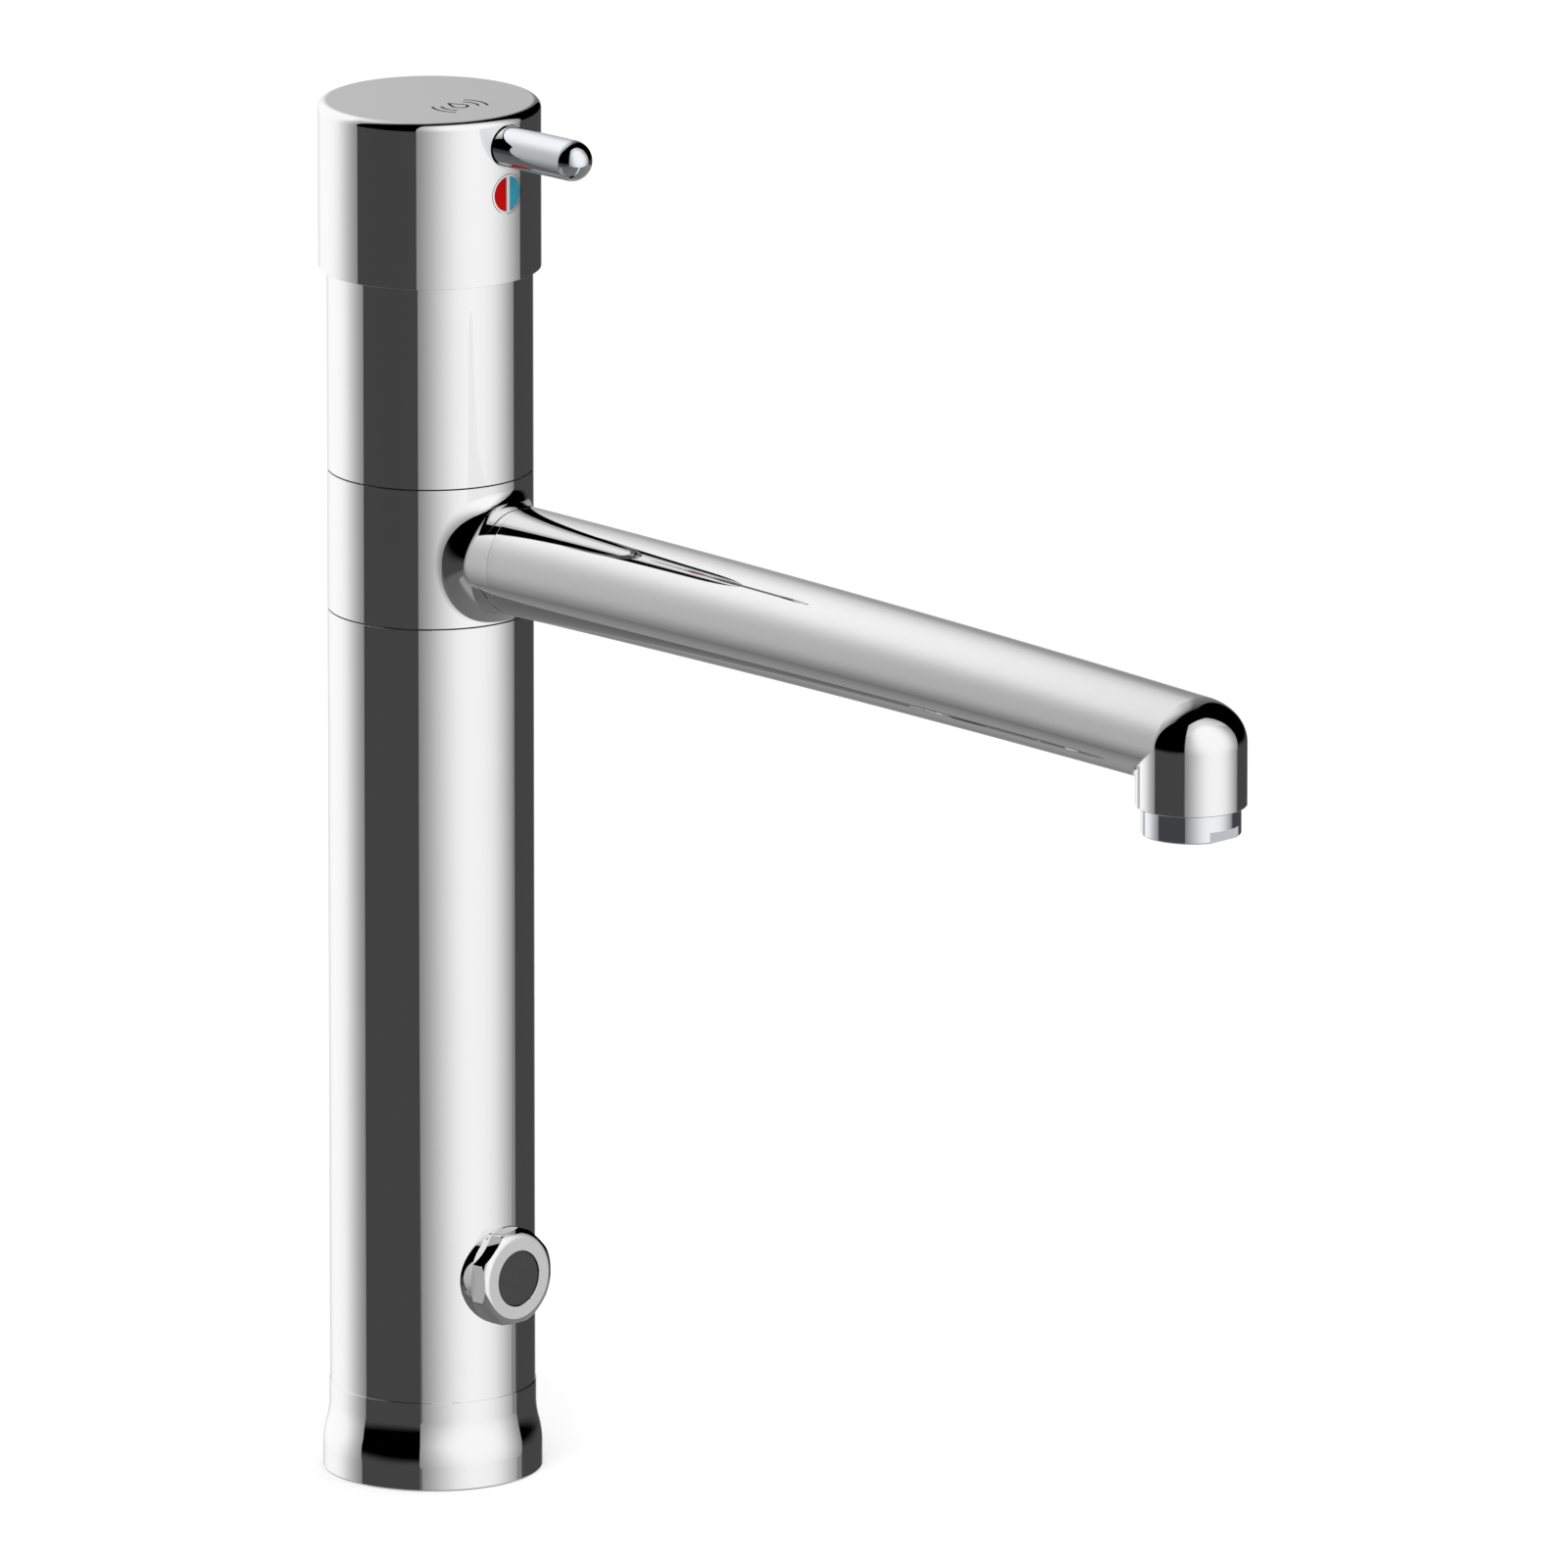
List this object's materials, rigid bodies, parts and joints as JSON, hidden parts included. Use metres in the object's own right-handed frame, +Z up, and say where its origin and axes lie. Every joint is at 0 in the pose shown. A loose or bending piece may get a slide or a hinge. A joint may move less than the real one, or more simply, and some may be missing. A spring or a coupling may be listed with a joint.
{
  "type": "sensor basin tap",
  "caption": "Tall round deck tap with a long swivelling spout, a turning temperature cap with a short lever, and an infrared sensor low on the column.",
  "frame": {"origin": "on the column's axis, at the underside of the foot, where it rests on the deck", "axes": "+Z up along the column; -Y towards the user, along the spout, the lever and the sensor; +X to the user's right"},
  "size_m": [0.054, 0.2979, 0.341],
  "materials": {
    "chrome": "bright polished chrome plate",
    "brass": "machined",
    "copper": "drawn copper tube",
    "steel": "machined stainless steel",
    "rubber": "matte",
    "black_plastic": "moulded",
    "white_plastic": "moulded",
    "clear_plastic": "moulded clear lens",
    "circuit_board": "solder mask",
    "sensor_window": "smooth dark infrared filter",
    "ceramic": "lapped",
    "red_enamel": "smooth inlay",
    "blue_enamel": "smooth inlay",
    "cable": "matte sheath"
  },
  "bodies": {
    "column": {"base_flange": "chrome", "deck_gasket": "rubber", "base_insert": "brass", "cable_grommet": "rubber", "hot_supply_pipe": "copper", "cold_supply_pipe": "copper", "pipe_seals": "rubber", "lower_column": "chrome", "upper_column": "chrome", "sensor_collar": "chrome", "sensor_nut": "chrome", "sensor_seal": "rubber", "sensor_window": "sensor_window", "sensor_housing": "black_plastic", "sensor_saddle": "black_plastic", "sensor_board": "circuit_board", "infrared_emitter": "clear_plastic", "infrared_receiver": "black_plastic", "swivel_core": "brass", "core_seals": "rubber", "slip_rings": "black_plastic", "stop_pin": "steel", "cartridge_seat": "brass", "seat_screws": "steel", "cartridge_base": "white_plastic", "cartridge_body": "white_plastic", "fixed_disc": "ceramic", "cartridge_nut": "brass", "cap_guide_ring": "black_plastic", "valve_body": "black_plastic", "port_seals": "rubber", "valve_diaphragm": "rubber", "valve_bonnet": "steel", "valve_screws": "steel", "fixed_pole": "steel", "plunger_spring": "steel", "solenoid_coil": "black_plastic", "coil_yoke": "steel", "coil_nut": "steel", "coil_lead": "cable"},
    "spout": {"spout_ring": "chrome", "spout_tube": "chrome", "aerator_housing": "chrome", "aerator_mesh": "white_plastic", "flow_regulator": "white_plastic", "aerator_seal": "rubber"},
    "handle": {"cap": "chrome", "lever_pin": "chrome", "mark_frame": "chrome", "mark_hot": "red_enamel", "mark_cold": "blue_enamel", "stem_adaptor": "brass", "adaptor_screw": "steel", "limit_ring": "black_plastic", "cartridge_stem": "white_plastic", "stem_seal": "rubber", "disc_carrier": "white_plastic", "moving_disc": "ceramic"},
    "plunger": {"plunger": "steel", "plunger_tip": "rubber"}
  },
  "joints": [
    {"name": "spout_swivel", "type": "hinge", "parent": "column", "child": "spout", "pos_m": [0, 0, 0.2325], "axis": [0, 0, 1], "range_deg": [-60, 60]},
    {"name": "temperature_turn", "type": "hinge", "parent": "column", "child": "handle", "pos_m": [0, 0, 0.3205], "axis": [0, 0, 1], "range_deg": [-45, 45]},
    {"name": "plunger_lift", "type": "slide", "parent": "column", "child": "plunger", "axis": [0, 0, 1], "range_m": [-0.0018, 0], "stiffness_N_per_m": 200, "springref_m": 0.003, "deforming": ["plunger_spring"]}
  ]
}
